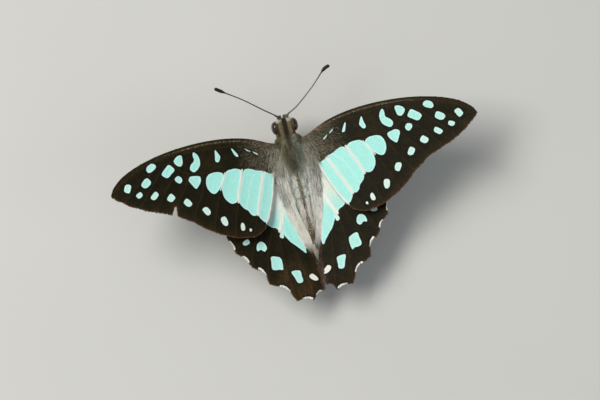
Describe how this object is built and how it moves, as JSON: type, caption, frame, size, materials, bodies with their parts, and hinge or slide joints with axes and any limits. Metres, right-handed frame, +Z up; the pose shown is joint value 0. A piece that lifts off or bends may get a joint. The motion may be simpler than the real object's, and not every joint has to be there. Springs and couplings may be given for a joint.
{
  "type": "swallowtail butterfly",
  "caption": "Life-size tailless swallowtail basking with its wings open: dark brown with a pale blue-green band and spots, scalloped hindwings, clubbed feelers and a coiled tongue.",
  "frame": {"origin": "on the floor, under the middle of the model's box", "axes": "+X towards the butterfly's own left, -Y towards its head, +Z up"},
  "size_m": [0.0776, 0.0479, 0.0181],
  "materials": {
    "grey_hair": "soft grey-brown hair with pale tufts",
    "eye_gloss": "glossy dark brown",
    "dark_horn": "satin dark brown, paler grey along one feeler",
    "leg_scales": "grey-brown scales with short hair",
    "wing_scales": "dark brown scales with a pale blue-green band and spots"
  },
  "bodies": {
    "root": {"abdomen": "grey_hair", "antenna_left": "dark_horn", "antenna_right": "dark_horn", "eye_left": "eye_gloss", "eye_right": "eye_gloss", "forewing_left": "wing_scales", "forewing_right": "wing_scales", "head": "grey_hair", "hindwing_left": "wing_scales", "hindwing_right": "wing_scales", "leg_front_left": "leg_scales", "leg_front_right": "leg_scales", "leg_hind_left": "leg_scales", "leg_hind_right": "leg_scales", "leg_middle_left": "leg_scales", "leg_middle_right": "leg_scales", "palp_left": "grey_hair", "palp_right": "grey_hair", "thorax": "grey_hair", "tongue": "dark_horn"}
  },
  "joints": []
}
